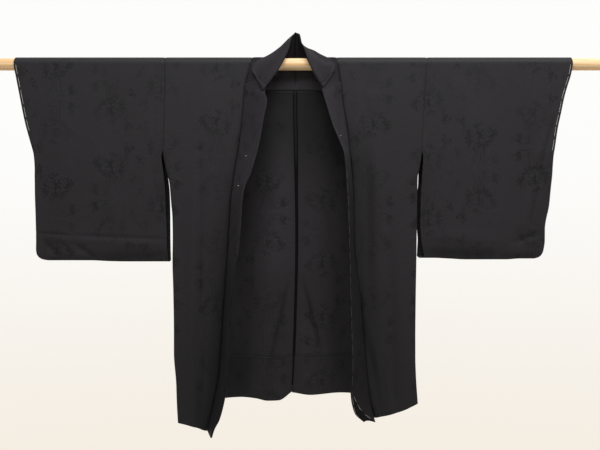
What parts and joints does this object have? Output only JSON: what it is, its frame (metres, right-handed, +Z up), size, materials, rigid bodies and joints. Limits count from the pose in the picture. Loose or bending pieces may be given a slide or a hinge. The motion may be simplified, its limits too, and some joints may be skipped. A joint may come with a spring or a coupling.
{
  "type": "haori jacket on a display rod",
  "caption": "Hip-length haori in black figured silk, wide open sleeves and turned-over collar, hung flat over a straight wooden display rod.",
  "frame": {"origin": "on the rod's axis, at the centre back of the jacket", "axes": "+X along the rod towards the wearer's left, -Y out of the jacket's front, +Z up"},
  "size_m": [1.5, 0.1108, 0.931],
  "materials": {
    "silk": "black figured silk with small woven flower sprays, soft low sheen",
    "collar_silk": "the same black silk, folded double",
    "tape": "plain black silk seam tape",
    "wood": "smooth pale unvarnished wood with fine straight grain"
  },
  "bodies": {
    "root": {"body_left": "silk", "body_right": "silk", "sleeve_left": "silk", "sleeve_right": "silk", "gusset_left": "silk", "gusset_right": "silk", "collar_left": "collar_silk", "collar_right": "collar_silk", "centre_back_tape": "tape", "rod": "wood"}
  },
  "joints": []
}
